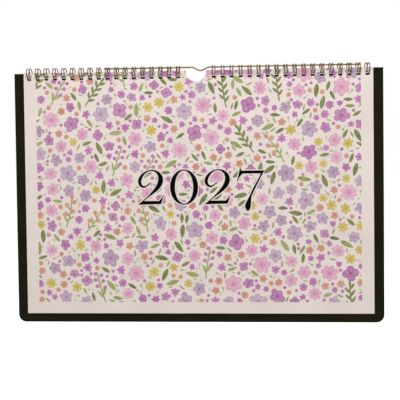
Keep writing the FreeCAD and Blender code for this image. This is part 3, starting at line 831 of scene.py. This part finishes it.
def make_print():
    """The painted field: flowers and leaves over the solids' own, with small fillers between."""
    inks = {name: watercolour_ink("ink_" + name, *colours) for name, colours in INKS.items()}
    places = scatter_motifs()
    nodes = motif_nodes()

    def lay(motif, where, layer, ink):
        return lay_motif(nodes, motif, where, layer, inks[ink])

    def blooms(name, ink, *others):
        """Flowers of one ink, whose places are shared out among several outlines."""
        outlines = [petal_outline(*numbers) for numbers in FLOWER_OUTLINES.get(name, ())] + list(others)
        return [lay(Motif().blob(outline, PETAL_RINGS), places[name, "flower"][n::len(outlines)],
                    FLOWER_LAYER, ink) for n, outline in enumerate(outlines)]

    lilac = blooms("flowers_lilac", "lilac")
    pink = blooms("flowers_pink", "pink")
    violet = blooms("flowers_violet", "violet")
    yellow = blooms("flowers_yellow", "yellow")
    peach = blooms("flowers_peach", "peach")
    blossoms = blooms("blossoms_orchid", "orchid", cup_outline())
    cups = blooms("cups_peach", "peach", cup_outline())
    dots = blooms("berries_orchid", "orchid")

    sprigs = places["leaves_green", "sprig"]
    leafy, berried, budded = sprigs[0::3], sprigs[1::3], sprigs[2::3]
    leaves = places["leaves_green", "leaf"]
    small = places["leaves_small", "leaf"]
    full_leaf = Motif().blob(leaf_outline(0.34), LEAF_RINGS)
    slim_leaf = Motif().blob(leaf_outline(0.28), SMALL_RINGS)
    green = [
        lay(berry_stems(), berried, LEAF_LAYER, "green"),
        lay(bud_stems(), budded, LEAF_LAYER, "green"),
        lay(sprout(), small[0::2], LEAF_LAYER, "green"),
        lay(slim_leaf, small[1::2], LEAF_LAYER, "green"),
        lay(full_leaf, leaves[0::3], LEAF_LAYER, "green"),
    ]
    dark = [
        lay(leafy_sprig(), leafy, LEAF_LAYER, "leaf"),
        lay(full_leaf, leaves[1::3] + leaves[2::3], LEAF_LAYER, "leaf"),
    ]
    fruit = lay(berries(), berried, FLOWER_LAYER, "orchid")
    open_buds = lay(buds(), budded, FLOWER_LAYER, "peach")

    print_piece("printed_lilac_flowers", inks["lilac"], lilac, ["print_flowers_lilac"])
    print_piece("printed_pink_flowers", inks["pink"], pink, ["print_flowers_pink"])
    print_piece("printed_violet_flowers", inks["violet"], violet, ["print_flowers_violet"])
    print_piece("printed_yellow_flowers", inks["yellow"], yellow, ["print_flowers_yellow"])
    print_piece("printed_peach_flowers", inks["peach"], peach + cups + [open_buds],
                ["print_flowers_peach"])
    print_piece("printed_dark_leaves", inks["leaf"], dark)
    print_piece("printed_sprigs", inks["green"], green, ["print_leaves_green"])
    print_piece("printed_orchid_blossoms", inks["orchid"], blossoms + dots + [fruit])


def outline_loops(mesh):
    """The closed outlines of the flat front faces of a solid print, as lists of points."""
    shape = bmesh.new()
    shape.from_mesh(mesh)
    bmesh.ops.remove_doubles(shape, verts=shape.verts, dist=WELD_DISTANCE)
    shape.normal_update()
    rim = [face for face in shape.faces if face.normal.y < -0.9]
    rim_faces = set(rim)
    following = {}
    for face in rim:
        for loop in face.loops:
            if not any(other in rim_faces for other in loop.edge.link_faces if other is not face):
                following[loop.vert.co.copy().freeze()] = loop.link_loop_next.vert.co.copy().freeze()
    shape.free()
    loops = []
    while following:
        start = next(iter(following))
        loop = []
        point = start
        while point in following:
            loop.append(point)
            point = following.pop(point)
        loops.append(loop)
    return loops


def numeral_halo(paper):
    """A bare cream line round every numeral, where the floral print stops short of the black."""
    shape = bmesh.new()
    depth = cover_front - HALO_LAYER
    for loop in outline_loops(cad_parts["year_numerals"].data):
        count = len(loop)
        inner, outer = [], []
        for n, point in enumerate(loop):
            run = loop[(n + 1) % count] - loop[n - 1]
            side = Vector((run.z, 0, -run.x)).normalized()
            inner.append(shape.verts.new((point.x, depth, point.z)))
            outer.append(shape.verts.new((point.x + side.x * HALO_WIDTH, depth,
                                          point.z + side.z * HALO_WIDTH)))
        for n in range(count):
            after = (n + 1) % count
            shape.faces.new((inner[n], inner[after], outer[after], outer[n]))
    face_viewer(shape)
    mesh = bpy.data.meshes.new("numeral_halo")
    shape.to_mesh(mesh)
    shape.free()
    mesh.materials.append(paper)
    halo = in_scene("numeral_halo", mesh)
    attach(halo, "cover")


def leaf_nodes():
    """Copies one leaf through the block's thickness, each drifting a little to the side."""
    nodes = MeshNodes("stack_leaves", {"Leaf": "NodeSocketGeometry", "Leaves": "NodeSocketInt",
                                       "Step": "NodeSocketFloat", "Drift": "NodeSocketFloat",
                                       "Paper": "NodeSocketMaterial"})
    given = nodes.given
    line = nodes.node("GeometryNodeMeshLine")
    nodes.link(given["Leaves"], line.inputs["Count"])
    step = nodes.node("ShaderNodeCombineXYZ")
    nodes.link(given["Step"], step.inputs["Y"])
    nodes.link(step.outputs["Vector"], line.inputs["Offset"])
    drift = nodes.node("FunctionNodeRandomValue", data_type="FLOAT_VECTOR")
    drift.inputs["Min"].default_value = (-1, 0, -1)
    drift.inputs["Max"].default_value = (1, 0, 1)
    drift.inputs["Seed"].default_value = LEAF_DRIFT_SEED
    offset = nodes.vector_maths("SCALE", drift.outputs["Value"], given["Drift"])
    placed = nodes.place_copies(nodes.moved(line.outputs["Mesh"], offset), given["Leaf"])
    nodes.output(nodes.real(placed.outputs["Instances"]), given["Paper"])
    return nodes


def page_leaves(paper):
    """The block's separate monthly leaves, each a thin punched sheet."""
    shape = bmesh.new()
    shape.from_mesh(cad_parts["page_block"].data)
    bmesh.ops.remove_doubles(shape, verts=shape.verts, dist=WELD_DISTANCE)
    front, rear = block_low[1] + LEAF_EASE, block_high[1] - LEAF_EASE
    for vert in shape.verts:
        share = (vert.co.y - block_low[1]) / (block_high[1] - block_low[1])
        vert.co.y = front + share * LEAF_THICKNESS
    mesh = bpy.data.meshes.new("leaf")
    shape.to_mesh(mesh)
    shape.free()
    stacked = leaf_nodes().run(mesh, {"Leaves": LEAF_COUNT, "Drift": LEAF_DRIFT, "Paper": paper,
                                      "Step": (rear - front - LEAF_THICKNESS) / (LEAF_COUNT - 1)})
    leaves = in_scene("monthly_leaves", stacked)
    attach(leaves, "pages")
    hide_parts("page_block")


def dress(node, material):
    """Give a CAD node its finish."""
    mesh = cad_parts[node].data
    mesh.materials.clear()
    mesh.materials.append(material)


def make_camera():
    """The photograph's camera: close, nearly straight on, slightly rolled and shifted."""
    turn, tilt, roll = CAMERA_TURN, CAMERA_TILT, CAMERA_ROLL
    forward = Vector((-math.sin(turn) * math.cos(tilt), math.cos(turn) * math.cos(tilt),
                      -math.sin(tilt)))
    level = Vector((math.cos(turn), math.sin(turn), 0.0))
    upright = level.cross(forward)
    right = math.cos(roll) * level + math.sin(roll) * upright
    up = math.cos(roll) * upright - math.sin(roll) * level
    data = bpy.data.cameras.new("camera")
    data.sensor_width = SENSOR_WIDTH
    data.lens = FOCAL_PIXELS / PHOTO_SIZE * SENSOR_WIDTH
    data.shift_y = CAMERA_SHIFT
    data.clip_start, data.clip_end = 0.01, 20.0
    camera = in_scene("camera", data)
    axes = Matrix((right, up, -forward)).transposed()
    aim = Vector((cover_middle + CAMERA_AIM_RIGHT, 0.0, cover_top - CAMERA_AIM_DOWN))
    camera.matrix_world = Matrix.Translation(aim - forward * CAMERA_DISTANCE) @ axes.to_4x4()
    bpy.context.scene.camera = camera


def make_lamps():
    """Soft light from above the front, with a fill and a rear lamp."""
    for name, (place, aim, size, power) in LAMPS.items():
        data = bpy.data.lights.new(name, "AREA")
        data.shape = "RECTANGLE"
        data.size, data.size_y = size
        data.energy = power
        lamp = in_scene(name, data)
        lamp.location = place
        lamp.rotation_euler = (Vector(aim) - Vector(place)).to_track_quat("-Z", "Y").to_euler()


def make_surroundings():
    """Surroundings that are white where they are seen and light the calendar evenly."""
    world = bpy.data.worlds.new("studio")
    bpy.context.scene.world = world
    world.use_nodes = True
    nodes = Nodes(world.node_tree)
    backgrounds = []
    for strength in (AMBIENT_STRENGTH, 1.0):
        background = nodes.node("ShaderNodeBackground")
        background.inputs["Color"].default_value = (1, 1, 1, 1)
        background.inputs["Strength"].default_value = strength
        backgrounds.append(background.outputs["Background"])
    blend = nodes.node("ShaderNodeMixShader")
    nodes.feed(blend.inputs, (nodes.seen_rays(), *backgrounds))
    nodes.link(blend.outputs["Shader"], nodes.node("ShaderNodeOutputWorld").inputs["Surface"])


def make_floor():
    """Pale floor well below the hanging calendar."""
    mesh = bpy.data.meshes.new("floor")
    reach, level = FLOOR_REACH, cad_low[2] - FLOOR_DROP
    mesh.from_pydata([(-reach, -reach, level), (reach, -reach, level), (reach, reach, level),
                      (-reach, reach, level)], [], [(0, 1, 2, 3)])
    pale = Shading("pale_floor", roughness=0.9)
    cloud = pale.noise(scale=3.0, detail=2.0)
    pale.colour(pale.mix(pale.range(cloud, 0.3, 0.7), linear(252, 252, 251), linear(249, 249, 248)))
    lift = pale.node("ShaderNodeEmission")
    pale.link(pale.maths("MULTIPLY", pale.seen_rays(), FLOOR_LIFT), lift.inputs["Strength"])
    lifted = pale.node("ShaderNodeAddShader")
    pale.feed(lifted.inputs, (pale.shader.outputs["BSDF"], lift.outputs["Emission"]))
    pale.link(lifted.outputs["Shader"], pale.output.inputs["Surface"])
    mesh.materials.append(pale.material)
    floor = in_scene("floor", mesh)


paper = cover_paper()
wire = bronze_wire()
dress("front_cover", paper)
dress("back_board", board_card())
dress("wire_binding_left", wire)
dress("wire_binding_right", wire)
dress("hanger", hanger_wire())
dress("year_numerals", black_ink())
page_leaves(leaf_paper())
make_print()
numeral_halo(paper)
make_camera()
make_surroundings()
make_floor()
make_lamps()
bpy.context.scene.view_settings.view_transform = "Standard"
